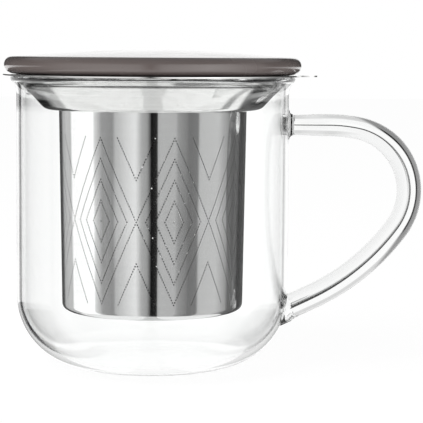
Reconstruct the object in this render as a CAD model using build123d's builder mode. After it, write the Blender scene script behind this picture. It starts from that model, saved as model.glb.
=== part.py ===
from build123d import *
import os
from math import asin, degrees, radians, sqrt, tan

# Lidded tea mug with infuser.  Millimetres, +Z up, origin on the cup's axis at the table,
# handle towards +X.  Every piece of revolution is drawn as a profile in the XZ plane.

# ---------------------------------------------------------------- driving dimensions
# Blown glass cup
cup_radius = 45.8            # outside of the straight wall
cup_wall = 1.8               # blown wall, the same through the floor
cup_height = 98.15           # table to the top of the lip
lip_flare = 2.0              # how far the lip stands out from the wall, middle to middle
lip_flare_height = 5.0       # height over which the wall turns outwards to the lip
corner_radius = 24.0         # outside radius where the wall turns into the floor
floor_radius = 80.0          # outside radius of the slow curve from the corner to the foot
foot_radius = 15.0           # flat disc that the cup stands on

# Drawn glass rod handle, fused to the cup at both ends
handle_height = 82.0         # middle of the rod where it leaves the cup at the top
handle_straight = 13.7       # level run of the rod outside the cup's wall
shoulder_radius = 50.0       # first slow bend of the rod
shoulder_turn = 11.4         # degrees
nose_radius = 21.5           # tight bend round the fingers
nose_turn = 114.5            # degrees
landing_gap = 7.9            # where the long bend back ends, outside the cup's wall
landing_height = 23.5        # middle of the rod there
rod_radius_top = 3.4         # thinnest, just outside the upper joint
rod_radius_shoulder = 3.75   # end of the level run
rod_radius_nose = 4.15       # where the fingers hold it
rod_radius_back = 4.2        # above the lower joint
root_radius_top = 4.2        # the rod swells again where it is melted on
root_radius_bottom = 4.8
root_length_top = 4.0        # length of rod over which a root swells, up to the wall
root_length_bottom = 8.7
root_inset = 8.0             # how far the rod runs on before it is cut to the wall

# Pressed steel collar that hangs the infuser in the cup
sheet = 0.5                  # thickness of the collar and of the base cap
flange_overhang = 2.4        # how far the rim stands out past the lip that it lies on
flange_bend_radius = 1.2     # inside bend between the rim and the dish
dish_inset = 0.55            # from the middle of the lip in to the top of the dish's side
dish_slope = 48.0            # degrees above the horizontal
dish_corner_radius = 4.0     # outside bend between the side and the bottom of the dish
dish_depth = 11.3            # underside of the rim to the underside of the dish
dish_shelf = 4.6             # flat bottom of the dish, from its side in to the basket
tab_reach = 4.6              # grip tab, beyond the rim, over the handle
tab_width = 18.0
tab_corner_radius = 3.0
lip_clearance = 0.1          # between the lip and the rim

# Rolled and welded basket wall, slightly tapered
wall_sheet = 0.4
basket_taper = 1.0           # how much less its radius is at the base cap
basket_length = 65.15

# Pressed base cap with round strainer holes
base_corner_radius = 2.3     # outside
strainer_hole_radius = 0.55
strainer_pitch = 3.0
strainer_margin = 2.5        # blank border between the outermost holes and the corner

# Rows of strainer holes in the basket wall: the outlines of eight tall lozenges
lozenge_count = 8
lozenge_height = 54.0
lozenge_holes = 9            # holes along each side of a lozenge
lozenge_base = 3.0           # blank band under the pattern
wall_hole_radius = 0.4

# Glazed porcelain lid
lid_setback = 0.35           # how far the collar's rim shows past the lid
lid_edge_radius = 2.95       # full round edge, half the height of the side band
lid_rise = 2.45              # dome, centre above the top of the edge
lid_shell = 3.2              # thickness under the dome
lid_clearance = 0.1          # between the collar's rim and the lid
ring_depth = 4.0             # locating ring, below the seat
ring_play = 1.2              # between the ring and the side of the dish
ring_width = 3.6
ring_tip_radius = 0.8

os.makedirs("parts", exist_ok=True)


# ---------------------------------------------------------------- places that follow
corner_centre_r = cup_radius - corner_radius
corner_centre_z = floor_radius - sqrt(
    (floor_radius - corner_radius) ** 2 - (corner_centre_r - foot_radius) ** 2
)
corner_turn = degrees(asin((corner_centre_r - foot_radius) / (floor_radius - corner_radius)))

lip_middle_r = cup_radius - cup_wall / 2 + lip_flare
lip_middle_z = cup_height - cup_wall / 2
flare_radius = (lip_flare**2 + lip_flare_height**2) / (2 * lip_flare)

lip_outer_radius = lip_middle_r + cup_wall / 2

flange_radius = lip_outer_radius + flange_overhang
flange_under = cup_height + lip_clearance
flange_top = flange_under + sheet
dish_under = flange_under - dish_depth
dish_mouth_radius = lip_middle_r - dish_inset
dish_bottom_radius = dish_mouth_radius - dish_depth / tan(radians(dish_slope))
tab_root = dish_mouth_radius + flange_bend_radius

basket_top_radius = dish_bottom_radius - dish_shelf
basket_bottom_radius = basket_top_radius - basket_taper
cap_top = dish_under - basket_length
cap_under = cap_top - base_corner_radius
basket_inner_top = basket_top_radius - wall_sheet
basket_inner_bottom = basket_bottom_radius - wall_sheet

seat = flange_top + lid_clearance
lid_radius = flange_radius - lid_setback
edge_centre_r = lid_radius - lid_edge_radius
edge_centre_z = seat + lid_edge_radius
dome_height = lid_edge_radius + lid_rise
dome_radius = (edge_centre_r**2 + dome_height**2 - lid_edge_radius**2) / (
    2 * (dome_height - lid_edge_radius)
)
apex = edge_centre_z + dome_height
ring_under = seat - ring_depth
dish_inner_at_ring = (
    dish_mouth_radius - (flange_under - ring_under) / tan(radians(dish_slope)) - sheet
)
ring_radius = dish_inner_at_ring - ring_play
ring_inner_radius = ring_radius - ring_width


# ---------------------------------------------------------------- mug_body
with BuildPart() as mug_body:
    with BuildSketch(Plane.XZ) as cup_section:
        with BuildLine() as cup_outer:
            foot = Line((0, 0), (foot_radius, 0))
            floor = JernArc(foot @ 1, foot % 1, floor_radius, corner_turn)
            corner = JernArc(floor @ 1, floor % 1, corner_radius, 90 - corner_turn)
            side = Line(corner @ 1, (cup_radius, lip_middle_z - lip_flare_height))
            flare_turn = degrees(asin(lip_flare_height / flare_radius))
            flare = JernArc(side @ 1, (0, 1), flare_radius - cup_wall / 2, -flare_turn)
            lip = JernArc(flare @ 1, flare % 1, cup_wall / 2, 180)
            inner_flare = JernArc(lip @ 1, lip % 1, flare_radius + cup_wall / 2, flare_turn)
            inner_side = Line(inner_flare @ 1, (cup_radius - cup_wall, corner_centre_z))
            inner_corner = JernArc(
                inner_side @ 1, (0, -1), corner_radius - cup_wall, corner_turn - 90
            )
            inner_floor = JernArc(
                inner_corner @ 1, inner_corner % 1, floor_radius - cup_wall, -corner_turn
            )
            inner_foot = Line(inner_floor @ 1, (0, cup_wall))
            axis_edge = Line(inner_foot @ 1, (0, 0))
        make_face()
    revolve(axis=Axis.Z)
mug_body.part.label = "mug_body"
export_step(mug_body.part, "parts/mug_body.step")


# ---------------------------------------------------------------- mug_handle
def swell(rod_radius, root_radius):
    """Places along a root, as shares of its length, and the rod's radius at each."""
    return [(0, rod_radius), (0.5, rod_radius + (root_radius - rod_radius) / 4), (1, root_radius)]


def even(start_radius, end_radius):
    """The same for a run that keeps its thickness, or changes it evenly."""
    return [(0, start_radius), (1, end_radius)]


with BuildPart() as mug_handle:
    with BuildLine(Plane.XZ):
        level_start = (cup_radius + root_length_top, handle_height)
        top_root = Line(level_start, (cup_radius, handle_height))
        top_stub = Line(top_root @ 1, top_root @ 1 + (top_root % 1) * root_inset)
        level = Line(level_start, (cup_radius + handle_straight, handle_height))
        shoulder = JernArc(level @ 1, level % 1, shoulder_radius, -shoulder_turn)
        nose = JernArc(shoulder @ 1, shoulder % 1, nose_radius, -nose_turn)
        landing = (cup_radius + landing_gap, landing_height)
        back = TangentArc(nose @ 1, landing, tangent=nose % 1)
        bottom_root = Line(back @ 1, back @ 1 + (back % 1) * root_length_bottom)
        bottom_stub = Line(bottom_root @ 1, bottom_root @ 1 + (back % 1) * root_inset)
    runs = [
        (top_stub, even(root_radius_top, root_radius_top)),
        (top_root, swell(rod_radius_top, root_radius_top)),
        (level, even(rod_radius_top, rod_radius_shoulder)),
        (shoulder, even(rod_radius_shoulder, rod_radius_shoulder)),
        (nose, [(0, rod_radius_shoulder), (0.5, rod_radius_nose), (1, rod_radius_back)]),
        (back, even(rod_radius_back, rod_radius_back)),
        (bottom_root, swell(rod_radius_back, root_radius_bottom)),
        (bottom_stub, even(root_radius_bottom, root_radius_bottom)),
    ]
    for run, run_sections in runs:
        for place, radius in run_sections:
            with BuildSketch(Plane(run @ place, z_dir=run % place)):
                Circle(radius)
        sweep(path=run, multisection=True)
    with BuildSketch(Plane.XZ) as cup_filled:
        with BuildLine():
            add([foot, floor, corner, side, flare])
            Polyline(flare @ 1, (0, lip_middle_z), (0, 0))
        make_face()
    revolve(cup_filled.sketch, axis=Axis.Z, mode=Mode.SUBTRACT)
mug_handle.part.label = "mug_handle"
export_step(mug_handle.part, "parts/mug_handle.step")


# ---------------------------------------------------------------- infuser_collar
with BuildPart() as infuser_collar:
    with BuildSketch(Plane.XZ):
        with BuildLine() as collar_underside:
            FilletPolyline(
                (flange_radius, flange_under),
                (dish_mouth_radius, flange_under),
                (dish_bottom_radius, dish_under),
                (basket_inner_top, dish_under),
                radius=(flange_bend_radius, dish_corner_radius),
            )
            offset(amount=sheet, side=Side.RIGHT)
        make_face()
    revolve(axis=Axis.Z)
    with BuildSketch(Plane.XY.offset(flange_under)) as tab:
        with Locations((flange_radius + tab_reach, 0)):
            Rectangle(
                flange_radius + tab_reach - tab_root, tab_width, align=(Align.MAX, Align.CENTER)
            )
        fillet(tab.vertices().group_by(Axis.X)[-1], tab_corner_radius)
    extrude(amount=sheet)
infuser_collar.part.label = "infuser_collar"
export_step(infuser_collar.part, "parts/infuser_collar.step")


# ---------------------------------------------------------------- infuser_wall
def lozenge_places():
    """Height and angle of each hole on the outlines of the lozenges, no place twice."""
    half_width = 180 / lozenge_count
    for step in range(2 * lozenge_holes + 1):
        height = cap_top + lozenge_base + lozenge_height * step / (2 * lozenge_holes)
        spread = half_width * (1 - abs(step / lozenge_holes - 1))
        for column in range(lozenge_count):
            middle = half_width * (2 * column + 0.5)
            yield height, middle + spread
            if 0 < step < 2 * lozenge_holes and step != lozenge_holes:
                yield height, middle - spread


with BuildPart() as infuser_wall:
    with BuildSketch(Plane.XZ):
        with BuildLine():
            Polyline(
                (basket_inner_bottom, cap_top),
                (basket_bottom_radius, cap_top),
                (basket_top_radius, dish_under),
                (basket_inner_top, dish_under),
                close=True,
            )
        make_face()
    revolve(axis=Axis.Z)
    drill_start = Pos(X=(basket_inner_top + basket_bottom_radius) / 2) * Rot(Y=90)
    drill_length = 2 * (basket_top_radius - basket_inner_bottom)
    with Locations([Pos(Z=z) * Rot(Z=angle) * drill_start for z, angle in lozenge_places()]):
        Cylinder(wall_hole_radius, drill_length, mode=Mode.SUBTRACT)
infuser_wall.part.label = "infuser_wall"
export_step(infuser_wall.part, "parts/infuser_wall.step")


# ---------------------------------------------------------------- infuser_base
with BuildPart() as infuser_base:
    with BuildSketch(Plane.XZ):
        with BuildLine():
            cap_floor = Line((0, cap_under), (basket_bottom_radius - base_corner_radius, cap_under))
            JernArc(cap_floor @ 1, cap_floor % 1, base_corner_radius, 90)
            offset(amount=sheet, side=Side.LEFT)
        make_face()
    revolve(axis=Axis.Z)
    strainer_reach = basket_bottom_radius - base_corner_radius - strainer_margin
    with BuildSketch(Plane.XY.offset(cap_under)):
        Circle(strainer_hole_radius)
        for ring in range(1, int(strainer_reach / strainer_pitch) + 1):
            with PolarLocations(ring * strainer_pitch, 6 * ring):
                Circle(strainer_hole_radius)
    extrude(amount=sheet, mode=Mode.SUBTRACT)
infuser_base.part.label = "infuser_base"
export_step(infuser_base.part, "parts/infuser_base.step")


# ---------------------------------------------------------------- lid
with BuildPart() as lid:
    with BuildSketch(Plane.XZ) as lid_section:
        with BuildLine():
            dome_turn = degrees(asin(edge_centre_r / (dome_radius - lid_edge_radius)))
            dome = JernArc((0, apex), (1, 0), dome_radius, -dome_turn)
            edge = JernArc(dome @ 1, dome % 1, lid_edge_radius, dome_turn - 180)
            ceiling_radius = dome_radius - lid_shell
            ceiling_turn = degrees(asin(ring_inner_radius / ceiling_radius))
            ceiling = JernArc((0, apex - lid_shell), (1, 0), ceiling_radius, -ceiling_turn)
            Polyline(
                edge @ 1,
                (ring_radius, seat),
                (ring_radius, ring_under),
                (ring_inner_radius, ring_under),
                ceiling @ 1,
            )
            Line(ceiling @ 0, dome @ 0)
        make_face()
        ring_tips = lid_section.vertices().group_by(Axis.Y)[0]
        fillet(ring_tips, ring_tip_radius)
    revolve(axis=Axis.Z)
lid.part.label = "lid"
export_step(lid.part, "parts/lid.step")
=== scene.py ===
import bpy
from math import asin, atan, ceil, copysign, cos, degrees, hypot, pi, radians, sin, tan
from mathutils import Matrix, Vector


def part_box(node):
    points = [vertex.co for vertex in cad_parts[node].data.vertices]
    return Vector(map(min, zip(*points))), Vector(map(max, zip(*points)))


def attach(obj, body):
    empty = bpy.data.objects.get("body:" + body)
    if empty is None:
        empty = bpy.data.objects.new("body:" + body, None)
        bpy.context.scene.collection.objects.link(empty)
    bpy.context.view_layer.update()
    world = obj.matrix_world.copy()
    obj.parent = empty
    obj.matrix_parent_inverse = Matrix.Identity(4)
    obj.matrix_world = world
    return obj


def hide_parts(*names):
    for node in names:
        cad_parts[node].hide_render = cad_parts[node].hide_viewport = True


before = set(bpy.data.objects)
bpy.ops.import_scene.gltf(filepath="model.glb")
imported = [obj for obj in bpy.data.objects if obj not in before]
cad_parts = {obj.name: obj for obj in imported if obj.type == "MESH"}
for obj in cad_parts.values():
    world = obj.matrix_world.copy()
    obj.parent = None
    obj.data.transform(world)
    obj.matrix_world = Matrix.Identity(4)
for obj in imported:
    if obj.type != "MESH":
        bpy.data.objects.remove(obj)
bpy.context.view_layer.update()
bpy.ops.object.select_all(action="DESELECT")
bpy.context.scene.view_settings.view_transform = "Standard"


# ---------------------------------------------------------------- camera
# A long lens on a low stand, a little to the handle's side of the mug, looking down slightly
# so that the lid's dome just shows.
frame_width = 423                    # pixels across the square frame
focal_length = 1750                  # the lens, in the same pixels
horizon_rise = 167                   # how far above the middle of the frame the horizon lies
camera_place = (0.0199, -0.590, 0.1088)
camera_roll = 0.37                   # degrees

bpy.ops.object.camera_add()
camera = bpy.context.object
camera.matrix_world = (
    Matrix.Translation(camera_place)
    @ Matrix.Rotation(radians(90) - atan(horizon_rise / focal_length), 4, "X")
    @ Matrix.Rotation(radians(camera_roll), 4, "Z")
)
camera.data.lens = camera.data.sensor_width * focal_length / frame_width
camera.data.clip_start = 0.01
camera.data.dof.use_dof = False
bpy.context.scene.camera = camera


# ---------------------------------------------------------------- studio
# A white room with cards and softboxes stood round the table.  Polished steel and glass mirror
# the cards, everything else is lit softly and evenly, and what lies behind the mug is white.
def fill(tree, node, inputs):
    """Sets a node's inputs.  Each is a plain value, or the output of another node."""
    for name, value in inputs.items():
        if isinstance(value, bpy.types.NodeSocket):
            tree.links.new(value, node.inputs[name])
        else:
            node.inputs[name].default_value = value
    return node


def shader_node(tree, kind, inputs, **settings):
    """A new node with its settings and inputs."""
    node = tree.nodes.new("ShaderNode" + kind)
    for name, value in settings.items():
        setattr(node, name, value)
    return fill(tree, node, inputs)


def maths(tree, operation, first, second=0.0):
    """The result of one sum or comparison of two numbers."""
    return shader_node(tree, "Math", {0: first, 1: second}, operation=operation).outputs[0]


def product(tree, first, second):
    """Two numbers multiplied."""
    return maths(tree, "MULTIPLY", first, second)


def total(tree, first, second):
    """Two numbers added."""
    return maths(tree, "ADD", first, second)


def unsigned(tree, value):
    """A number without its sign."""
    return maths(tree, "ABSOLUTE", value)


def over(tree, value, limit):
    """1 where a number is over a limit, and 0 elsewhere."""
    return maths(tree, "GREATER_THAN", value, limit)


def diagonal(tree, first, second):
    """The long side of a right-angled triangle with two short sides."""
    return maths(tree, "SQRT", total(tree, product(tree, first, first), product(tree, second, second)))


def ease(tree, value, start, end, low=0.0, high=1.0):
    """Goes smoothly from low to high while the value goes from start to end."""
    limits = {"Value": value, "From Min": start, "From Max": end, "To Min": low, "To Max": high}
    return shader_node(tree, "MapRange", limits, interpolation_type="SMOOTHSTEP").outputs[0]


def mixed(tree, share, first, second):
    """The first number or grey, turning into the second as share goes from 0 to 1."""
    return shader_node(tree, "Mix", {0: share, 2: first, 3: second}).outputs[0]


def grey_ramp(tree, value, stops, elsewhere):
    """Greys at given places between 0 and 1, and another grey at both ends."""
    ramp = shader_node(tree, "ValToRGB", {0: value})
    ramp.color_ramp.elements[0].color = ramp.color_ramp.elements[1].color = (*[elsewhere] * 3, 1)
    for place, grey in stops:
        ramp.color_ramp.elements.new(place).color = (grey, grey, grey, 1)
    return ramp.outputs[0]


# Light runs on inside the cup's rim for many bounces, and it is black there if they are cut short.
bpy.context.scene.cycles.max_bounces = 32
bpy.context.scene.cycles.glossy_bounces = 24
bpy.context.scene.cycles.transmission_bounces = 24

studio = bpy.data.worlds.new("studio")
bpy.context.scene.world = studio
studio.use_nodes = True
studio.cycles.sampling_method = "NONE"
tree = studio.node_tree
tree.nodes.clear()

# The way a ray leaves for the room, as shares of its length: to the right, straight on from the
# camera, and up.  View tilt is how steeply the camera looks down.
view_tilt = 0.08
look = shader_node(tree, "TexCoord", {})
across, along, upwards = shader_node(tree, "SeparateXYZ", {0: look.outputs["Generated"]}).outputs
level = total(tree, upwards, view_tilt)
bend = diagonal(tree, across, level)
heading = total(tree, product(tree, maths(tree, "ARCTAN2", across, along), 0.5 / pi), 0.5)

# What the ray has met before, by how often.  Each wall of glass that it passes has two surfaces.
once = 0.5
two_walls = 3.5
more_walls = 4.5
path = shader_node(tree, "LightPath", {}).outputs
was_scattered = over(tree, path["Diffuse Depth"], once)
was_mirrored = over(tree, path["Glossy Depth"], once)
through_glass = over(tree, path["Transmission Depth"], once)
past_two_walls = over(tree, path["Transmission Depth"], two_walls)
past_more_walls = over(tree, path["Transmission Depth"], more_walls)
within_glass = maths(tree, "SUBTRACT", through_glass, past_two_walls)
off_rod = path["Is Singular Ray"]    # only the rod is perfectly clear, and not cup, lid or steel

# Cards round the table: the headings, in degrees to the right of straight behind the mug, of
# each one's left and right edge, and how bright it is there, where 1 is white.
cards = [
    ("wall left of the camera", -175, 0.40, -168, 0.48),
    ("bounce wall, far end", -161, 0.97, -136, 0.56),
    ("grey flat", -132, 0.27, -118, 0.28),
    ("bounce wall, near end", -114, 0.46, -107, 0.83),
    ("left softbox", -104, 1.42, -66, 1.38),
    ("left wall", -62, 0.64, -40, 0.50),
    ("left black flag", -32, 0.0, -10, 0.0),
    ("backdrop", -8, 1.0, 8, 1.0),
    ("right black flag", 10, 0.0, 48, 0.0),
    ("right grey flag", 54, 0.05, 70, 0.11),
    ("right corner", 75, 0.34, 86, 0.52),
    ("right wall", 93, 0.66, 119, 0.58),
    ("dark strip", 122.5, 0.16, 133, 0.13),
    ("right softbox, dimmed", 137, 0.21, 147, 0.33),
    ("wall right of the camera", 151, 0.53, 171.5, 0.53),
]
cards_for_lid = [
    ("wall left of the camera", -171, 0.90, -145, 0.92),
    ("left screen", -117, 0.70, -93, 0.28),
    ("left black flag", -75, 0.10, -13, 0.04),
    ("backdrop", -10, 1.1, 10, 1.1),
    ("right black flag", 13, 0.04, 75, 0.12),
    ("right screen", 84, 0.33, 102, 0.78),
    ("right softbox", 117, 1.25, 132, 1.65),
    ("wall right of the camera", 158, 1.15, 171, 0.95),
]
camera_gap = 0.006                   # the dark doorway that the camera looks through
camera_gap_edge = 173                # degrees


def card_row(tree, card_list):
    """The greys of a row of cards, by the ray's heading."""
    edges = []
    for _, left, left_light, right, right_light in card_list:
        edges += [(left / 360 + 0.5, left_light), (right / 360 + 0.5, right_light)]
    return grey_ramp(tree, heading, edges, camera_gap)


steel_row = card_row(tree, cards)
steel_row.node.color_ramp.elements[-1].position = 0.5 + camera_gap_edge / 360
lid_row = card_row(tree, cards_for_lid)

# The cup's outside mirrors the lid's cards too, but only the white backdrop where it faces that.
# The rod's outside mirrors white, except back towards the camera.
backdrop_rise = -0.102
backdrop_edge = (0.068, 0.062)       # up and down from there
backdrop_end = (0.0, 0.1)
rod_backdrop_end = (-0.6, 0.0)
faces_backdrop = product(
    tree,
    ease(tree, unsigned(tree, total(tree, upwards, -backdrop_rise)), *backdrop_edge),
    ease(tree, along, *backdrop_end),
)
cup_row = mixed(tree, faces_backdrop, lid_row, 1.0)
rod_row = mixed(tree, ease(tree, along, *rod_backdrop_end), lid_row, 1.0)
outside = mixed(tree, off_rod, cup_row, rod_row)

# Under the cards the steel mirrors the table, with the camera's stand in it, and over them the
# ceiling.  Light that also runs on through the handle brings less from the right.
card_foot_sides = (-0.2, 0.2)        # the cards' foot lies lower on the right than on the left
card_foot_rise = (-0.61, -0.64)
card_foot_edge = (-0.02, 0.03)
stand_edge = (0.085, 0.115)
stand_shadow = 0.74
table_light = 1.05
ceiling_edge = (0.42, 0.60)
ceiling_light = 0.30
handle_edge = (0.30, 0.45)
through_handle = 0.10
table_row = ease(tree, unsigned(tree, across), *stand_edge, stand_shadow, table_light)
card_foot = ease(tree, across, *card_foot_sides, *card_foot_rise)
below_cards = ease(tree, maths(tree, "SUBTRACT", card_foot, upwards), *card_foot_edge)
mirrored = mixed(tree, below_cards, mixed(tree, through_glass, outside, steel_row), table_row)
mirrored = mixed(tree, ease(tree, upwards, *ceiling_edge), mirrored, ceiling_light)
past_handle = product(tree, past_more_walls, ease(tree, across, *handle_edge))
mirrored = mixed(tree, past_handle, mirrored, through_handle)

# Light that the cup's wall mirrors inside itself, from left to right, where 0.5 is straight
# ahead.  Far out to the sides, black flags stand above and below.
mirrored_in_wall = [
    (0.225, 1.0), (0.24, 0.02), (0.30, 0.02), (0.315, 1.0), (0.70, 1.0), (0.715, 0.35),
    (0.745, 0.35), (0.76, 1.0)
]
flag_rise = -0.13                    # the middle of the gap between those flags
flag_edge = (0.09, 0.098)            # up and down from there
flag_side = (0.58, 0.68)
flag_end = (-0.05, 0.15)
wall_row_end = (-0.3, 0.1)
left_to_right = total(tree, product(tree, across, 0.5), 0.5)
past_flag_edge = product(
    tree,
    ease(tree, unsigned(tree, total(tree, upwards, -flag_rise)), *flag_edge),
    ease(tree, unsigned(tree, across), *flag_side),
)
at_flags = product(tree, past_flag_edge, ease(tree, along, *flag_end))
in_wall = mixed(tree, at_flags, grey_ramp(tree, left_to_right, mirrored_in_wall, 1.0), 0.0)
glancing = product(tree, within_glass, ease(tree, along, *wall_row_end))
mirrored = mixed(tree, glancing, mirrored, in_wall)

# The same for the rod, by how far the ray is turned away from straight ahead.
mirrored_in_rod = [(0.0, 1.0), (0.08, 1.0), (0.16, 0.05), (0.65, 0.05), (0.8, 0.9)]
in_rod = product(tree, within_glass, off_rod)
mirrored = mixed(tree, in_rod, mirrored, grey_ramp(tree, bend, mirrored_in_rod, 1.0))

# What the rod bends into view, by how far it turns the ray away from straight ahead.  On the left
# stand a black flag, which leans outwards, and a grey wall.
behind_rod_left = [
    (0.0, 1.0), (0.26, 1.0), (0.29, 0.01), (0.385, 0.02), (0.41, 0.27), (0.80, 0.30), (0.95, 0.8)
]
behind_rod_left_ends = 0.8
behind_rod = [(0.0, 1.0), (0.37, 1.0), (0.42, 0.72), (0.60, 0.68), (0.75, 0.80), (0.95, 0.93)]
behind_rod_ends = 0.95
left_edge = (-0.02, -0.10)
left_lean = 0.75
right_edge = (0.05, 0.20)
right_wall = 0.95
raised = maths(tree, "MAXIMUM", level, 0.0)
on_left = ease(tree, total(tree, across, product(tree, raised, left_lean)), *left_edge)
on_right = ease(tree, across, *right_edge)
bent = mixed(tree, on_right, grey_ramp(tree, bend, behind_rod, behind_rod_ends), right_wall)
bent = mixed(tree, on_left, bent, grey_ramp(tree, bend, behind_rod_left, behind_rod_left_ends))

# What shows past several walls of glass: white straight ahead, dark round that, and pale again far
# out.  The air line in the rod turns dark sooner.
past_walls_edge = (0.185, 0.27)
past_walls_dark = 0.05
past_walls_far = (0.6, 0.8)
past_walls_pale = 0.9
air_line_edge = (0.10, 0.20)
air_line_dark = 0.03
air_line_far = (0.55, 0.70)
air_line_pale = 0.85
past_walls = ease(tree, bend, *past_walls_edge, 1.0, past_walls_dark)
past_walls = mixed(tree, ease(tree, bend, *past_walls_far), past_walls, past_walls_pale)
in_air_line = ease(tree, bend, *air_line_edge, 1.0, air_line_dark)
in_air_line = mixed(tree, ease(tree, bend, *air_line_far), in_air_line, air_line_pale)
in_air_line = mixed(tree, past_more_walls, in_air_line, past_walls)
past_walls = mixed(tree, off_rod, past_walls, in_air_line)

# Each ray sees what its way calls for, and scattered light is even and soft.
soft_light_rise = (0.0, 0.6)
soft_light_low = 1.0                 # near the horizon
soft_light_high = 0.12               # overhead
through_one = mixed(tree, through_glass, 1.0, mixed(tree, off_rod, 1.0, bent))
seen = mixed(tree, past_two_walls, through_one, past_walls)
seen = mixed(tree, was_mirrored, seen, mirrored)
soft_light = ease(tree, upwards, *soft_light_rise, soft_light_low, soft_light_high)
seen = mixed(tree, was_scattered, seen, soft_light)
sky = shader_node(tree, "Background", {"Color": seen})
shader_node(tree, "OutputWorld", {"Surface": sky.outputs[0]})

# The table: plain white.  The cards stand past its edge, so the steel mirrors them all the way
# down.  Seen directly or through the glass it is as white as the room, apart from shadows.
table_size = 6.0
table_drop = 0.00002                 # how far it lies under the mug's foot
table_white = 0.85
table_glow = 0.55                    # what the table gives back besides the light on it
shadow_share = 0.15                  # how much of the table's white comes from light on it
white_seen = 1.10                    # how bright it is seen, also through one wall of glass
white_past_walls = 1.18              # and through two
past_walls_span = (3.0, 4.0)         # surfaces of glass, from the one to the other

bpy.ops.mesh.primitive_plane_add(size=table_size, location=(0, 0, -table_drop))
table = bpy.context.object
table.name = "table"
table_paint = bpy.data.materials.new("table_paint")
table_paint.use_nodes = True
tree = table_paint.node_tree
tree.nodes.clear()
path = shader_node(tree, "LightPath", {}).outputs
was_scattered = over(tree, path["Diffuse Depth"], once)
was_mirrored = over(tree, path["Glossy Depth"], once)
in_rod = product(tree, over(tree, path["Transmission Depth"], once), path["Is Singular Ray"])
shadowed = shader_node(tree, "BsdfDiffuse", {"Color": (shadow_share, shadow_share, shadow_share, 1)})
glow_span = (white_seen - shadow_share, white_past_walls - shadow_share)
white_glow = ease(tree, path["Transmission Depth"], *past_walls_span, *glow_span)
glow = shader_node(tree, "Emission", {"Strength": white_glow})
seen = shader_node(tree, "AddShader", {0: shadowed.outputs[0], 1: glow.outputs[0]})
gone = shader_node(tree, "BsdfTransparent", {})
white = shader_node(tree, "BsdfDiffuse", {"Color": (table_white, table_white, table_white, 1)})
lit = shader_node(tree, "Emission", {"Strength": table_glow})
plain = shader_node(tree, "AddShader", {0: white.outputs[0], 1: lit.outputs[0]})
hidden = maths(tree, "MAXIMUM", was_mirrored, in_rod)
direct = shader_node(tree, "MixShader", {0: hidden, 1: seen.outputs[0], 2: gone.outputs[0]})
surface = shader_node(tree, "MixShader", {0: was_scattered, 1: direct.outputs[0], 2: plain.outputs[0]})
shader_node(tree, "OutputMaterial", {"Surface": surface.outputs[0]})
table.data.materials.append(table_paint)

# One large soft lamp, high on the left in front, which gives the table its faint shadow.
lamp_size = 0.7
lamp_power = 4.0
lamp_place = Vector((-0.55, -0.55, 1.0))

bpy.ops.object.light_add(type="AREA", location=lamp_place)
lamp = bpy.context.object
lamp.rotation_euler = lamp_place.to_track_quat("Z", "Y").to_euler()
lamp.data.size = lamp_size
lamp.data.energy = lamp_power
lamp.visible_camera = lamp.visible_glossy = lamp.visible_transmission = False


# ---------------------------------------------------------------- mug_glass
# The cup and its handle are one piece of clear borosilicate glass: a thin cup, blown in a mould
# and fire polished at the lip, and a solid drawn rod, bent hot and melted on at two places.
cup_radius = 0.0458
cup_wall = 0.0018
cup_height = 0.09815
lip_flare = 0.0020
lip_flare_height = 0.0050
corner_radius = 0.024
floor_radius = 0.080
foot_radius = 0.015
cup_steps = 180                      # round the cup
arc_step = 5                         # degrees to a piece, where an arc isn't cut finer
crease = 35                          # degrees, and sharper edges stay crisp
touching = 1e-6                      # points nearer than this are one


def in_pieces(length, turn=None, *, count):
    """The moves of a straight, or of an arc with a radius and a turn, drawn in several pieces."""
    return [length / count if turn is None else (length, turn / count)] * count


def draw_line(name, start, heading, moves):
    """A new mesh line in the plane y = 0, left in edit mode.  A move is a length, or a radius and
    the degrees that the line turns to its left."""
    bpy.ops.mesh.primitive_plane_add(size=0.01)
    drawn = bpy.context.object
    drawn.name = drawn.data.name = name
    bpy.ops.object.mode_set(mode="EDIT")
    bpy.ops.mesh.select_mode(type="VERT")
    bpy.ops.mesh.merge(type="CENTER")
    place = Vector((start[0], 0, start[1]))
    bpy.ops.transform.translate(value=place)
    for move in moves:
        ahead = Vector((cos(radians(heading)), 0, sin(radians(heading))))
        if isinstance(move, tuple):
            radius, turn = move
            left = Vector((-ahead.z, 0, ahead.x))
            centre = place + left * copysign(radius, turn)
            steps = max(2, ceil(abs(turn) / arc_step))
            bpy.ops.mesh.spin(steps=steps, angle=radians(turn), center=centre, axis=(0, 1, 0))
            place = centre + Matrix.Rotation(-radians(turn), 3, "Y") @ (place - centre)
            heading += turn
        else:
            place = place + ahead * move
            bpy.ops.mesh.extrude_vertices_move(TRANSFORM_OT_translate={"value": ahead * move})
    return drawn


def lathe(steps):
    """Turns the line that is being drawn round the upright axis into a closed smooth shape."""
    bpy.ops.mesh.select_all(action="SELECT")
    bpy.ops.mesh.spin(steps=steps, angle=2 * pi, center=(0, 0, 0), axis=(0, 0, 1))
    bpy.ops.mesh.select_all(action="SELECT")
    bpy.ops.mesh.remove_doubles(threshold=touching)
    bpy.ops.mesh.normals_make_consistent(inside=False)
    bpy.ops.object.mode_set(mode="OBJECT")
    bpy.ops.object.shade_smooth_by_angle(angle=radians(crease))


def pick(piece, *others):
    """Selects a piece, and others with it, and makes it the active one."""
    bpy.ops.object.select_all(action="DESELECT")
    for chosen in (piece, *others):
        chosen.select_set(True)
    bpy.context.view_layer.objects.active = piece


def combine(piece, tool, operation):
    """Cuts the tool from the piece or joins it on, and removes the tool."""
    pick(piece)
    bpy.ops.object.modifier_add(type="BOOLEAN")
    boolean = piece.modifiers[-1]
    boolean.operation = operation
    boolean.solver = "EXACT"
    boolean.object = tool
    bpy.ops.object.modifier_apply(modifier=boolean.name)
    bpy.data.objects.remove(tool)


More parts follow.
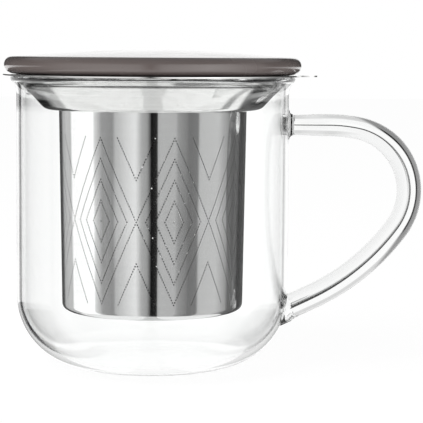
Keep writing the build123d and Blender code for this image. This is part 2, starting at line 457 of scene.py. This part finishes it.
# Half section of the cup: out along the foot, up the outside, over the lip and down the inside.
corner_turn = degrees(asin((cup_radius - corner_radius - foot_radius) / (floor_radius - corner_radius)))
flare_radius = (lip_flare**2 + lip_flare_height**2) / (2 * lip_flare)
flare_turn = degrees(asin(lip_flare_height / flare_radius))
corner_centre_z = floor_radius - (floor_radius - corner_radius) * cos(radians(corner_turn))
side_height = cup_height - cup_wall / 2 - lip_flare_height - corner_centre_z
side = in_pieces(side_height, count=36)

cup_section = [
    foot_radius,
    (floor_radius, corner_turn),
    (corner_radius, 90 - corner_turn),
    *side,
    (flare_radius - cup_wall / 2, -flare_turn),
    (cup_wall / 2, 180),
    (flare_radius + cup_wall / 2, flare_turn),
    *side,
    (corner_radius - cup_wall, corner_turn - 90),
    (floor_radius - cup_wall, -corner_turn),
    foot_radius,
]
mug_glass = draw_line("mug_glass", (0, 0), 0, cup_section)
lathe(cup_steps)

# The rod's centre line, from the middle of the wall at the top to the same place below, and
# its radius, in millimetres, at distances along it.  It spreads where it is melted on.
handle_height = 0.082
handle_straight = 0.0137
shoulder_radius, shoulder_turn = 0.050, 11.4
nose_radius, nose_turn = 0.0215, 114.5
back_radius, back_turn = 0.07451, 29.08
root_run = 0.0170
upper_root = 0.0063                  # length of rod, from its start, in which the upper fillet lies
rod_stations = [
    (0, 3.4), (0.0035, 3.4), (0.0146, 3.75), (0.0246, 3.75), (0.046, 4.15), (0.068, 4.2), (0.115, 4.2)
]
rod_resolution = 12
fillet = 1.9                         # of the melted joints
upper_fillet = (2.0, 1.0)            # how far it reaches from the wall, and its share of that size
lower_fillet = (3.5, 0.3)
# The fine bubble drawn out along the rod, and its radius, which grows towards the lower joint.
air_line_stations = [(0, 0.12), (0.03, 0.16), (0.055, 0.40), (0.080, 0.40), (0.118, 0.65)]
air_line_resolution = 2
air_line_gap = 0.0012                # between its ends and the cup's wall

rod_line = [
    *in_pieces(upper_root, count=14),
    *in_pieces(cup_wall / 2 + handle_straight - upper_root, count=6),
    *in_pieces(shoulder_radius, -shoulder_turn, count=6),
    *in_pieces(nose_radius, -nose_turn, count=40),
    *in_pieces(back_radius, -back_turn, count=14),
    *in_pieces(root_run, count=34),
]


def swelling(distance_to_wall, reach, share):
    """How much wider the rod is near a melted joint, as a rounded fillet."""
    inside = min(max(1000 * distance_to_wall, 0.0), reach)
    return fillet * (1 - (1 - (1 - inside / reach) ** 2) ** 0.5) * share


def wall_distance(place):
    """How far a place in the handle's plane lies outside the cup's wall, side or corner."""
    if place.z > corner_centre_z:
        return place.x - cup_radius
    return hypot(place.x - (cup_radius - corner_radius), place.z - corner_centre_z) - corner_radius


def between(stations, distance):
    """The value at a distance, between the two stations on either side of it."""
    for (start, low), (end, high) in zip(stations, stations[1:]):
        if distance <= end:
            share = (distance - start) / (end - start)
            return low + (high - low) * share * share * (3 - 2 * share)
    return stations[-1][1]


def points_along(tube):
    """The points of a tube's middle line, from its upper end on, and how far along each one is."""
    points = list(tube.data.splines[0].points)
    if points[0].co.z < points[-1].co.z:
        points.reverse()
    walked = 0
    for point, nearer in zip(points, [points[0]] + points):
        walked += (point.co - nearer.co).length
        yield point, walked


rod = draw_line("rod", (cup_radius - cup_wall / 2, handle_height), 0, rod_line)
bpy.ops.object.mode_set(mode="OBJECT")
bpy.ops.object.convert(target="CURVE")
rod.data.dimensions = "3D"
rod.data.bevel_depth = 0.001         # so that the radius at a point is in millimetres
rod.data.bevel_resolution = rod_resolution
rod.data.use_fill_caps = True
bpy.ops.object.duplicate()
air_line = bpy.context.object
air_line.data.bevel_resolution = air_line_resolution
for point, walked in points_along(rod):
    root = upper_fillet if point.co.z > handle_height / 2 else lower_fillet
    point.radius = between(rod_stations, walked) + swelling(wall_distance(point.co), *root)
for point, walked in points_along(air_line):
    point.radius = between(air_line_stations, walked)
for tube in (air_line, rod):
    pick(tube)
    bpy.ops.object.convert(target="MESH")
    bpy.ops.object.mode_set(mode="EDIT")
    bpy.ops.mesh.select_all(action="SELECT")
    bpy.ops.mesh.remove_doubles(threshold=touching)
    bpy.ops.mesh.normals_make_consistent(inside=False)
    bpy.ops.object.mode_set(mode="OBJECT")

# The rod is cut off in the middle of the wall, and then joined to the cup.
half_wall = cup_wall / 2
core_section = [
    foot_radius,
    (floor_radius - half_wall, corner_turn),
    (corner_radius - half_wall, 90 - corner_turn),
    side_height,
]
core = draw_line("core", (0, half_wall), 0, core_section)
bpy.ops.mesh.extrude_vertices_move(TRANSFORM_OT_translate={"value": (half_wall - cup_radius, 0, 0)})
lathe(cup_steps)
combine(rod, core, "DIFFERENCE")
combine(mug_glass, rod, "UNION")

# The air line is closed at both ends short of the wall.  Its faces point into the air.
pick(air_line)
bpy.ops.object.mode_set(mode="EDIT")
bpy.ops.mesh.select_mode(type="VERT")
bpy.ops.mesh.select_all(action="DESELECT")
bpy.ops.object.mode_set(mode="OBJECT")
for corner in air_line.data.vertices:
    corner.select = wall_distance(corner.co) < air_line_gap
bpy.ops.object.mode_set(mode="EDIT")
bpy.ops.mesh.delete(type="VERT")
bpy.ops.mesh.select_all(action="SELECT")
bpy.ops.mesh.region_to_loop()
bpy.ops.mesh.edge_face_add()
bpy.ops.mesh.select_all(action="SELECT")
bpy.ops.mesh.normals_make_consistent(inside=True)
bpy.ops.object.mode_set(mode="OBJECT")
pick(mug_glass, air_line)
bpy.ops.object.join()
bpy.ops.object.shade_smooth_by_angle(angle=radians(crease))


def new_material(name):
    """A new material with nodes, emptied, and the place of each point on the piece."""
    made = bpy.data.materials.new(name)
    made.use_nodes = True
    made.node_tree.nodes.clear()
    return made, made.node_tree, shader_node(made.node_tree, "TexCoord", {}).outputs["Object"]


def new_group(name, inputs, outputs):
    """A new node group with named vector inputs and numbers, and the sockets to read and fill."""
    made = bpy.data.node_groups.new(name, "ShaderNodeTree")
    for kind, sockets in (("INPUT", inputs), ("OUTPUT", outputs)):
        for socket, value in sockets.items():
            made.interface.new_socket(socket, in_out=kind, socket_type="NodeSocket" + value)
    return made, made.nodes.new("NodeGroupInput").outputs, made.nodes.new("NodeGroupOutput").inputs


def placed(tree, group, inputs):
    """The outputs of a node group placed in a material, with its own values."""
    node = tree.nodes.new("ShaderNodeGroup")
    node.node_tree = group
    return fill(tree, node, inputs).outputs


def blended(tree, share, first, second):
    """The first colour, turning into the second as share goes from 0 to 1."""
    inputs = {0: share}
    for socket, colour in ((6, first), (7, second)):
        inputs[socket] = colour if isinstance(colour, bpy.types.NodeSocket) else (*colour, 1)
    return shader_node(tree, "Mix", inputs, data_type="RGBA").outputs[2]


def from_axis(tree, place):
    """How far each point lies from the upright axis, and how high up it is."""
    x, y, z = shader_node(tree, "SeparateXYZ", {0: place}).outputs
    return diagonal(tree, x, y), z


# Fine rings round the upright axis, left by turning, spinning, polishing or a turned mould.
turned_rings, given, result = new_group(
    "turned_rings",
    {"Place": "Vector", "Rings per metre": "Float", "Contrast": "Float"},
    {"Rings": "Float"},
)
out, up = from_axis(turned_rings, given["Place"])
section_place = shader_node(turned_rings, "CombineXYZ", {0: out, 1: up}).outputs[0]
grooves = shader_node(
    turned_rings,
    "TexNoise",
    {"Vector": section_place, "Scale": given["Rings per metre"], "Detail": 3.0, "Roughness": 0.65},
    noise_dimensions="2D",
).outputs[0]
rings = product(turned_rings, maths(turned_rings, "SUBTRACT", grooves, 0.5), given["Contrast"])
turned_rings.links.new(total(turned_rings, rings, 0.5), result["Rings"])

# What hands and cloths leave: broad soft smears, and a few small specks.
smear_edge = (0.38, 0.66)
speck_edge = (0.16, 0.08)            # in shares of the space that each speck has
clean_share = 0.72                   # of those spaces have no speck

handling, given, result = new_group(
    "handling",
    {"Place": "Vector", "Smears per metre": "Float", "Specks per metre": "Float"},
    {"Smears": "Float", "Specks": "Float"},
)
smears = shader_node(handling, "TexNoise", {
    "Vector": given["Place"], "Scale": given["Smears per metre"], "Detail": 2.0, "Distortion": 0.3
}).outputs[0]
handling.links.new(ease(handling, smears, *smear_edge), result["Smears"])
cells = shader_node(handling, "TexVoronoi", {"Vector": given["Place"], "Scale": given["Specks per metre"]})
near = ease(handling, cells.outputs["Distance"], *speck_edge)
lot = shader_node(handling, "SeparateColor", {0: cells.outputs["Color"]}).outputs[0]
handling.links.new(product(handling, near, over(handling, lot, clean_share)), result["Specks"])

# Clear glass with the faint waves of hand work and the rings of the turned mould.
glass_ior = 1.47
haze_edge = (cup_radius + 0.0012, cup_radius + 0.0014)
cup_haze = 0.01                      # the blown cup is a touch less clear than the drawn rod
wave_scale = 45                      # waves to the metre
wave_depth = 0.00002

clear_glass, tree, place = new_material("clear_glass")
waves = shader_node(tree, "TexNoise", {"Vector": place, "Scale": wave_scale, "Detail": 1.0}).outputs[0]
rings = placed(tree, turned_rings, {"Place": place, "Rings per metre": 260.0, "Contrast": 0.08})["Rings"]
ripple = shader_node(tree, "Bump", {"Height": total(tree, waves, rings), "Distance": wave_depth})
out, _ = from_axis(tree, place)
glass = shader_node(tree, "BsdfPrincipled", {
    "Base Color": blended(tree, waves, (0.99, 1.0, 0.995), (1.0, 1.0, 1.0)),
    "Roughness": ease(tree, out, *haze_edge, cup_haze, 0.0),
    "IOR": glass_ior,
    "Transmission Weight": 1.0,
    "Normal": ripple.outputs[0],
})
shader_node(tree, "OutputMaterial", {"Surface": glass.outputs[0]})
mug_glass.data.materials.clear()
mug_glass.data.materials.append(clear_glass)
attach(mug_glass, "mug")
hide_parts("mug_body", "mug_handle")


# ---------------------------------------------------------------- infuser_collar
# Pressed sheet steel: a flat rim that lies on the cup's lip, a sloping dish under it and a grip
# tab over the handle.  Its section is spun round the axis, and the tab is a bevelled plate.
flange_radius = 0.0502
flange_under = 0.09825
collar_sheet = 0.0005
sheet_edge = 0.0001                  # how far the sheet's cut edges are rounded
dish_mouth_radius = 0.04635
dish_slope = 48
dish_depth = 0.0113
flange_bend = 0.0012
dish_bend = 0.0040
collar_inner_radius = 0.031175
tab_reach = 0.0046
tab_width = 0.018
tab_corner_radius = 0.003
collar_steps = 180
sheet_crease = 30                    # degrees, and sharper edges stay crisp


def select_edges(piece, wanted):
    """Selects the edges of a piece, in edit mode, that are wanted, by where their ends are."""
    bpy.ops.mesh.select_mode(type="EDGE")
    bpy.ops.mesh.select_all(action="DESELECT")
    bpy.ops.object.mode_set(mode="OBJECT")
    places = piece.data.vertices
    for edge in piece.data.edges:
        edge.select = wanted(*(places[end].co for end in edge.vertices))
    bpy.ops.object.mode_set(mode="EDIT")


half_slope = tan(radians(dish_slope / 2))
rim_run = flange_radius - dish_mouth_radius - flange_bend * half_slope - sheet_edge
slope_run = dish_depth / sin(radians(dish_slope)) - (flange_bend + dish_bend) * half_slope
dish_bottom_radius = dish_mouth_radius - dish_depth / tan(radians(dish_slope))
shelf_run = dish_bottom_radius - collar_inner_radius - dish_bend * half_slope - sheet_edge
cut_edge = [(sheet_edge, -90), collar_sheet - 2 * sheet_edge, (sheet_edge, -90)]
collar_section = [
    rim_run,
    (flange_bend, dish_slope),
    slope_run,
    (dish_bend, -dish_slope),
    shelf_run,
    *cut_edge,
    shelf_run,
    (dish_bend - collar_sheet, dish_slope),
    slope_run,
    (flange_bend + collar_sheet, -dish_slope),
    rim_run,
    *cut_edge,
]
collar = draw_line("collar", (flange_radius - sheet_edge, flange_under), 180, collar_section)
lathe(collar_steps)

bpy.ops.object.select_all(action="DESELECT")
tab_root = dish_mouth_radius + flange_bend
tab_length = flange_radius + tab_reach - tab_root
bpy.ops.mesh.primitive_cube_add(
    size=1,
    location=(tab_root + tab_length / 2, 0, flange_under + collar_sheet / 2),
    scale=(tab_length, tab_width, collar_sheet),
)
tab = bpy.context.object
bpy.ops.object.transform_apply(location=True, rotation=True, scale=True)
bpy.ops.object.mode_set(mode="EDIT")
select_edges(tab, lambda one, other: one.x > tab_root + touching and abs(one.z - other.z) > touching)
bpy.ops.mesh.bevel(offset=tab_corner_radius, segments=8)
bpy.ops.object.mode_set(mode="OBJECT")
combine(collar, tab, "UNION")
bpy.ops.object.shade_smooth_by_angle(angle=radians(sheet_crease))

# Satin steel, finished on a turning lathe: fine rings, soft smears and a few specks.
satin_roughness = (0.055, 0.085)     # where it is clean, and under a smear

satin_steel, tree, place = new_material("satin_steel")
round_axis = shader_node(tree, "Tangent", {}, direction_type="RADIAL", axis="Z")
rings = placed(tree, turned_rings, {"Place": place, "Rings per metre": 1800.0, "Contrast": 1.6})["Rings"]
marks = placed(tree, handling, {"Place": place, "Smears per metre": 55.0, "Specks per metre": 420.0})
turned_tone = blended(tree, rings, (0.79, 0.79, 0.78), (0.89, 0.89, 0.88))
specked_tone = blended(tree, product(tree, marks["Specks"], 0.5), turned_tone, (0.45, 0.44, 0.42))
grooves = shader_node(tree, "Bump", {"Height": rings, "Distance": 0.0000005})
steel = shader_node(tree, "BsdfPrincipled", {
    "Base Color": specked_tone,
    "Metallic": 1.0,
    "Roughness": ease(tree, marks["Smears"], 0.0, 1.0, *satin_roughness),
    "Anisotropic": 0.6,
    "Anisotropic Rotation": 0.25,
    "Tangent": round_axis.outputs[0],
    "Normal": grooves.outputs[0],
})
shader_node(tree, "OutputMaterial", {"Surface": steel.outputs[0]})
collar.data.materials.append(satin_steel)
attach(collar, "infuser")
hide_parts("infuser_collar")


# ---------------------------------------------------------------- infuser_wall
# Thin steel sheet, etched with rows of fine strainer holes while flat, rolled, welded at the back
# and polished to a mirror.  The holes lie on nested lozenges, in a lattice of narrow rhombs.
wall_sheet = 0.0004
wall_taper = 0.0010                  # how much narrower the wall is at its foot
hole_radius = 0.00027
hole_start = hole_radius / 2         # how far the rhomb that becomes a hole is set in
panels = 8                           # lozenges round the basket
reach = 16                           # holes from the middle of a lozenge to its outline
hole_rings = (0, 4, 8, 12, 16)       # where the rows of holes are, counted from that middle
half_drop_ring = 8                   # the one row in each lozenge between them
pattern_rise = 0.054                 # height of a lozenge
pattern_middle = 0.0518
pattern_turn = 14.7                  # degrees from the front to the middle of one lozenge

(_, _, wall_foot), (wall_radius, _, wall_top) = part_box("infuser_wall")
rhomb_half_width = pi * (wall_radius - wall_taper / 2) / (2 * reach * panels)
rhomb_half_height = pattern_rise / (4 * reach)
panel_width = 4 * reach * rhomb_half_width
rhombs_across = 4 * reach + 3
edge_row = 2 * reach + 1


def lattice_place(point):
    """Which rhomb of the lattice a point lies in, counted along the lattice's two directions."""
    right, up = point.x / rhomb_half_width, point.y / rhomb_half_height
    return round((up + right) / 2), round((up - right) / 2)


def has_hole(point):
    """Whether the rhomb at a point lies on one of the rows of holes."""
    first, second = (abs(step) for step in lattice_place(point))
    ring = max(first, second)
    if ring <= reach:
        return ring in hole_rings
    return max(2 * reach - ring, min(first, second)) == half_drop_ring


def select_faces(piece, wanted):
    """Selects the faces of a piece, in edit mode, whose middles are wanted."""
    bpy.ops.mesh.select_mode(type="FACE")
    bpy.ops.mesh.select_all(action="DESELECT")
    bpy.ops.object.mode_set(mode="OBJECT")
    for face in piece.data.polygons:
        face.select = wanted(face.center)
    bpy.ops.object.mode_set(mode="EDIT")


def outside_panel(point):
    """Whether a rhomb lies outside the panel, which has whole rhombs along its sides."""
    right, up = round(point.x / rhomb_half_width), round(point.y / rhomb_half_height)
    return not -2 * reach <= right < 2 * reach or abs(up) > edge_row


def sign(number):
    """-1, 0 or 1, where anything under a hundredth of a millimetre is 0."""
    return (number > 1e-5) - (number < -1e-5)


# One flat panel: a square grid turned on its point and squeezed into rhombs.
bpy.ops.object.select_all(action="DESELECT")
bpy.ops.mesh.primitive_grid_add(
    x_subdivisions=rhombs_across,
    y_subdivisions=rhombs_across,
    size=rhombs_across * rhomb_half_width * 2**0.5,
    rotation=(0, 0, radians(45)),
)
wall = bpy.context.object
wall.name = wall.data.name = "perforated_wall"
bpy.ops.object.transform_apply(rotation=True)
bpy.ops.object.mode_set(mode="EDIT")
bpy.ops.transform.resize(value=(1, rhomb_half_height / rhomb_half_width, 1))
select_faces(wall, outside_panel)
bpy.ops.mesh.delete(type="FACE")
for edge_height in (edge_row * rhomb_half_height, -edge_row * rhomb_half_height):
    bpy.ops.mesh.select_all(action="SELECT")
    bpy.ops.mesh.bisect(
        plane_co=(0, edge_height, 0), plane_no=(0, copysign(1, edge_height), 0), clear_outer=True
    )

# Each hole starts as a smaller rhomb, which becomes a ring of eight points.
select_faces(wall, has_hole)
bpy.ops.mesh.inset(thickness=hole_start, use_individual=True)
bpy.ops.mesh.mark_sharp()
bpy.ops.mesh.delete(type="ONLY_FACE")
bpy.ops.mesh.select_mode(type="EDGE")
bpy.ops.mesh.select_all(action="DESELECT")
bpy.ops.object.mode_set(mode="OBJECT")
for edge in wall.data.edges:
    edge.select = edge.use_edge_sharp
bpy.ops.object.mode_set(mode="EDIT")
bpy.ops.mesh.subdivide(number_cuts=1)
bpy.ops.object.mode_set(mode="OBJECT")
for edge in wall.data.edges:
    for end in edge.vertices if edge.use_edge_sharp else ():
        point = wall.data.vertices[end].co
        first, second = lattice_place(point)
        middle = Vector(((first - second) * rhomb_half_width, (first + second) * rhomb_half_height, 0))
        outwards = Vector((sign(point.x - middle.x), sign(point.y - middle.y), 0))
        wall.data.vertices[end].co = middle + outwards.normalized() * hole_radius
bpy.ops.object.mode_set(mode="EDIT")

# Plain bands above and below the rows of holes, then eight panels side by side.
for end_height, rows in ((wall_top, edge_row), (wall_foot, -edge_row)):
    edge_height = rows * rhomb_half_height
    select_edges(wall, lambda *ends: all(abs(end.y - edge_height) < touching for end in ends))
    reach_up = end_height - pattern_middle - edge_height
    bpy.ops.mesh.extrude_edges_move(TRANSFORM_OT_translate={"value": (0, reach_up, 0)})
bpy.ops.object.mode_set(mode="OBJECT")
bpy.ops.object.modifier_add(type="ARRAY")
row_of_panels = wall.modifiers[-1]
row_of_panels.count = panels
row_of_panels.use_relative_offset = False
row_of_panels.use_constant_offset = True
row_of_panels.constant_offset_displace = (panel_width, 0, 0)
row_of_panels.use_merge_vertices = True
row_of_panels.merge_threshold = touching
bpy.ops.object.modifier_apply(modifier=row_of_panels.name)

# Rolled up: the flat sheet's width becomes the angle round the axis.
for corner in wall.data.vertices:
    height = pattern_middle + corner.co.y
    turn = corner.co.x / panel_width * 2 * pi / panels + radians(pattern_turn)
    radius = wall_radius - wall_taper * (wall_top - height) / (wall_top - wall_foot)
    corner.co = (radius * sin(turn), -radius * cos(turn), height)
bpy.ops.object.mode_set(mode="EDIT")
bpy.ops.mesh.select_all(action="SELECT")
bpy.ops.mesh.remove_doubles(threshold=touching)
bpy.ops.mesh.normals_make_consistent(inside=False)
bpy.ops.object.mode_set(mode="OBJECT")

# Polished steel: faint polishing rings and smears, and at the back the weld, ground flush, which
# is a little straw coloured and duller.
weld_side = 0.02                     # the weld lies further back than this
weld_half_width = 0.0004
weld_tint_width = 0.0016
weld_roughness = 0.14
polished_roughness = (0.02, 0.045)   # where it is clean, and under a smear

polished_steel, tree, place = new_material("polished_steel")
rings = placed(tree, turned_rings, {"Place": place, "Rings per metre": 900.0, "Contrast": 1.5})["Rings"]
marks = placed(tree, handling, {"Place": place, "Smears per metre": 70.0, "Specks per metre": 500.0})
x, y, _ = shader_node(tree, "SeparateXYZ", {0: place}).outputs
at_back = over(tree, y, weld_side)
from_weld = unsigned(tree, x)
tint = product(tree, at_back, ease(tree, from_weld, weld_tint_width, 0.0))
weld = product(tree, at_back, ease(tree, from_weld, weld_half_width, weld_half_width / 2))
mirror_tone = blended(tree, rings, (0.78, 0.78, 0.78), (0.82, 0.82, 0.82))
tinted = blended(tree, product(tree, tint, 0.6), mirror_tone, (0.62, 0.56, 0.46))
dulled = ease(tree, marks["Smears"], 0.0, 1.0, *polished_roughness)
beads = shader_node(tree, "TexNoise", {"Vector": place, "Scale": 900.0, "Detail": 2.0}).outputs[0]
relief = mixed(tree, weld, product(tree, rings, 0.1), total(tree, beads, 0.6))
bumps = shader_node(tree, "Bump", {"Height": relief, "Distance": 0.00001})
steel = shader_node(tree, "BsdfPrincipled", {
    "Base Color": tinted,
    "Metallic": 1.0,
    "Roughness": mixed(tree, weld, dulled, weld_roughness),
    "Normal": bumps.outputs[0],
})
shader_node(tree, "OutputMaterial", {"Surface": steel.outputs[0]})
wall.data.materials.append(polished_steel)

# The inside is left as it came from the mill: duller, with coarser rings.
inner_roughness = (0.25, 0.36)

inner_steel, tree, place = new_material("inner_steel")
rings = placed(tree, turned_rings, {"Place": place, "Rings per metre": 700.0, "Contrast": 2.0})["Rings"]
marks = placed(tree, handling, {"Place": place, "Smears per metre": 60.0, "Specks per metre": 300.0})
grooves = shader_node(tree, "Bump", {"Height": rings, "Distance": 0.000006})
steel = shader_node(tree, "BsdfPrincipled", {
    "Base Color": blended(tree, rings, (0.44, 0.44, 0.43), (0.56, 0.56, 0.55)),
    "Metallic": 1.0,
    "Roughness": ease(tree, marks["Smears"], 0.0, 1.0, *inner_roughness),
    "Normal": grooves.outputs[0],
})
shader_node(tree, "OutputMaterial", {"Surface": steel.outputs[0]})
wall.data.materials.append(inner_steel)

# The sides of the etched holes are matt, and painted nearly black: painted shade, which makes the holes
# read dark.
etched_roughness = (0.5, 0.7)        # outside the pits, and in them

hole_sides_painted_shade, tree, place = new_material("hole_sides_painted_shade")
pits = shader_node(tree, "TexNoise", {"Vector": place, "Scale": 4000.0, "Detail": 3.0}).outputs[0]
roughened = shader_node(tree, "Bump", {"Height": pits, "Distance": 0.00002})
steel = shader_node(tree, "BsdfPrincipled", {
    # Painted shade: the hole sides get a nearly black colour, not the steel's own grey.
    "Base Color": blended(tree, pits, (0.03, 0.03, 0.03), (0.07, 0.07, 0.065)),
    "Metallic": 0.0,
    "Roughness": ease(tree, pits, 0.3, 0.7, *etched_roughness),
    "Normal": roughened.outputs[0],
})
shader_node(tree, "OutputMaterial", {"Surface": steel.outputs[0]})
wall.data.materials.append(hole_sides_painted_shade)

# The sheet gets its thickness inwards, with the inner steel there and, in the holes, the etched sides
# painted nearly black as shade.
bpy.ops.object.modifier_add(type="SOLIDIFY")
solidify = wall.modifiers[-1]
solidify.thickness = wall_sheet
solidify.offset = -1.0
solidify.material_offset = 1
solidify.material_offset_rim = 2
bpy.ops.object.modifier_apply(modifier=solidify.name)
bpy.ops.object.shade_smooth_by_angle(angle=radians(sheet_crease))
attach(wall, "infuser")
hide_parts("infuser_wall")


# ---------------------------------------------------------------- infuser_base
# The shallow cap that closes the basket, pressed from sheet steel, punched with round strainer
# holes and welded on.  It keeps its own shape, polished like the wall.
base_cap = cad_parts["infuser_base"]
base_cap.data.materials.clear()
base_cap.data.materials.append(polished_steel)


# ---------------------------------------------------------------- lid
# Porcelain, jiggered in a mould and dipped in a glossy warm grey glaze: a low dome with a full
# round edge, and a ring underneath that keeps it in the dish.  Its section is spun round the axis.
lid_seat = 0.09885
lid_apex = 0.1072
lid_edge_middle = 0.0469             # radius at which the round edge is centred
lid_edge_radius = 0.00295
lid_shell = 0.0032
ring_under = 0.09485
ring_radius = 0.041589
ring_width = 0.0036
ring_tip = 0.0008
ceiling_fillet = 0.0010
seat_fillet = 0.0006
lid_steps = 180

dome_height = lid_apex - lid_seat - lid_edge_radius
dome_radius = (lid_edge_middle**2 + dome_height**2 - lid_edge_radius**2) / (
    2 * (dome_height - lid_edge_radius)
)
dome_turn = degrees(asin(lid_edge_middle / (dome_radius - lid_edge_radius)))
ceiling_radius = dome_radius - lid_shell
ring_inner_radius = ring_radius - ring_width
ceiling_turn = degrees(asin((ring_inner_radius - ceiling_fillet) / (ceiling_radius - ceiling_fillet)))
fillet_middle = lid_apex - dome_radius + (ceiling_radius - ceiling_fillet) * cos(radians(ceiling_turn))
lid_section = [
    *in_pieces(ceiling_radius, -ceiling_turn, count=12),
    (ceiling_fillet, ceiling_turn - 90),
    fillet_middle - ring_under - ring_tip,
    (ring_tip, 90),
    ring_width - 2 * ring_tip,
    (ring_tip, 90),
    lid_seat - seat_fillet - ring_under - ring_tip,
    (seat_fillet, -90),
    lid_edge_middle - ring_radius - seat_fillet,
    (lid_edge_radius, 180 - dome_turn),
    *in_pieces(dome_radius, dome_turn, count=18),
]
lid = draw_line("porcelain_lid", (0, lid_apex - lid_shell), 0, lid_section)
lathe(lid_steps)

# Warm grey glaze, softly mottled, with fine dark specks, thinner and browner on the round edge.
# The tip of the ring underneath is wiped bare, because the lid stands on it in the kiln.
clay_top = 0.0957                    # up the ring, where the glaze ends
clay_edge = (clay_top + 0.0001, clay_top - 0.0001)
thin_edge = (lid_edge_middle + 0.0008, lid_edge_middle + lid_edge_radius)
clay_roughness = 0.85
glaze_roughness = (0.22, 0.29)       # where it is clean, and under a smear

lid_glaze, tree, place = new_material("lid_glaze")
marks = placed(tree, handling, {"Place": place, "Smears per metre": 48.0, "Specks per metre": 900.0})
rings = placed(tree, turned_rings, {"Place": place, "Rings per metre": 300.0, "Contrast": 1.2})["Rings"]
out, up = from_axis(tree, place)
thin = ease(tree, out, *thin_edge)
bare = ease(tree, up, *clay_edge)
mottled = blended(tree, marks["Smears"], (0.148, 0.122, 0.119), (0.163, 0.135, 0.131))
speckled = blended(tree, product(tree, marks["Specks"], 0.55), mottled, (0.055, 0.045, 0.042))
edged = blended(tree, product(tree, thin, 0.35), speckled, (0.185, 0.145, 0.128))
clay_grain = shader_node(tree, "TexNoise", {"Vector": place, "Scale": 2600.0, "Detail": 4.0}).outputs[0]
clay = blended(tree, clay_grain, (0.50, 0.45, 0.39), (0.68, 0.62, 0.54))
smeared = ease(tree, marks["Smears"], 0.0, 1.0, *glaze_roughness)
relief = mixed(tree, bare, product(tree, rings, 0.04), clay_grain)
soft_bumps = shader_node(tree, "Bump", {"Height": relief, "Distance": 0.00002})
glaze = shader_node(tree, "BsdfPrincipled", {
    "Base Color": blended(tree, bare, edged, clay),
    "Roughness": mixed(tree, bare, smeared, clay_roughness),
    "IOR": 1.5,
    "Coat Weight": maths(tree, "SUBTRACT", 1.0, bare),
    "Coat Roughness": 0.06,
    "Normal": soft_bumps.outputs[0],
})
shader_node(tree, "OutputMaterial", {"Surface": glaze.outputs[0]})
lid.data.materials.append(lid_glaze)
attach(lid, "lid")
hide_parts("lid")
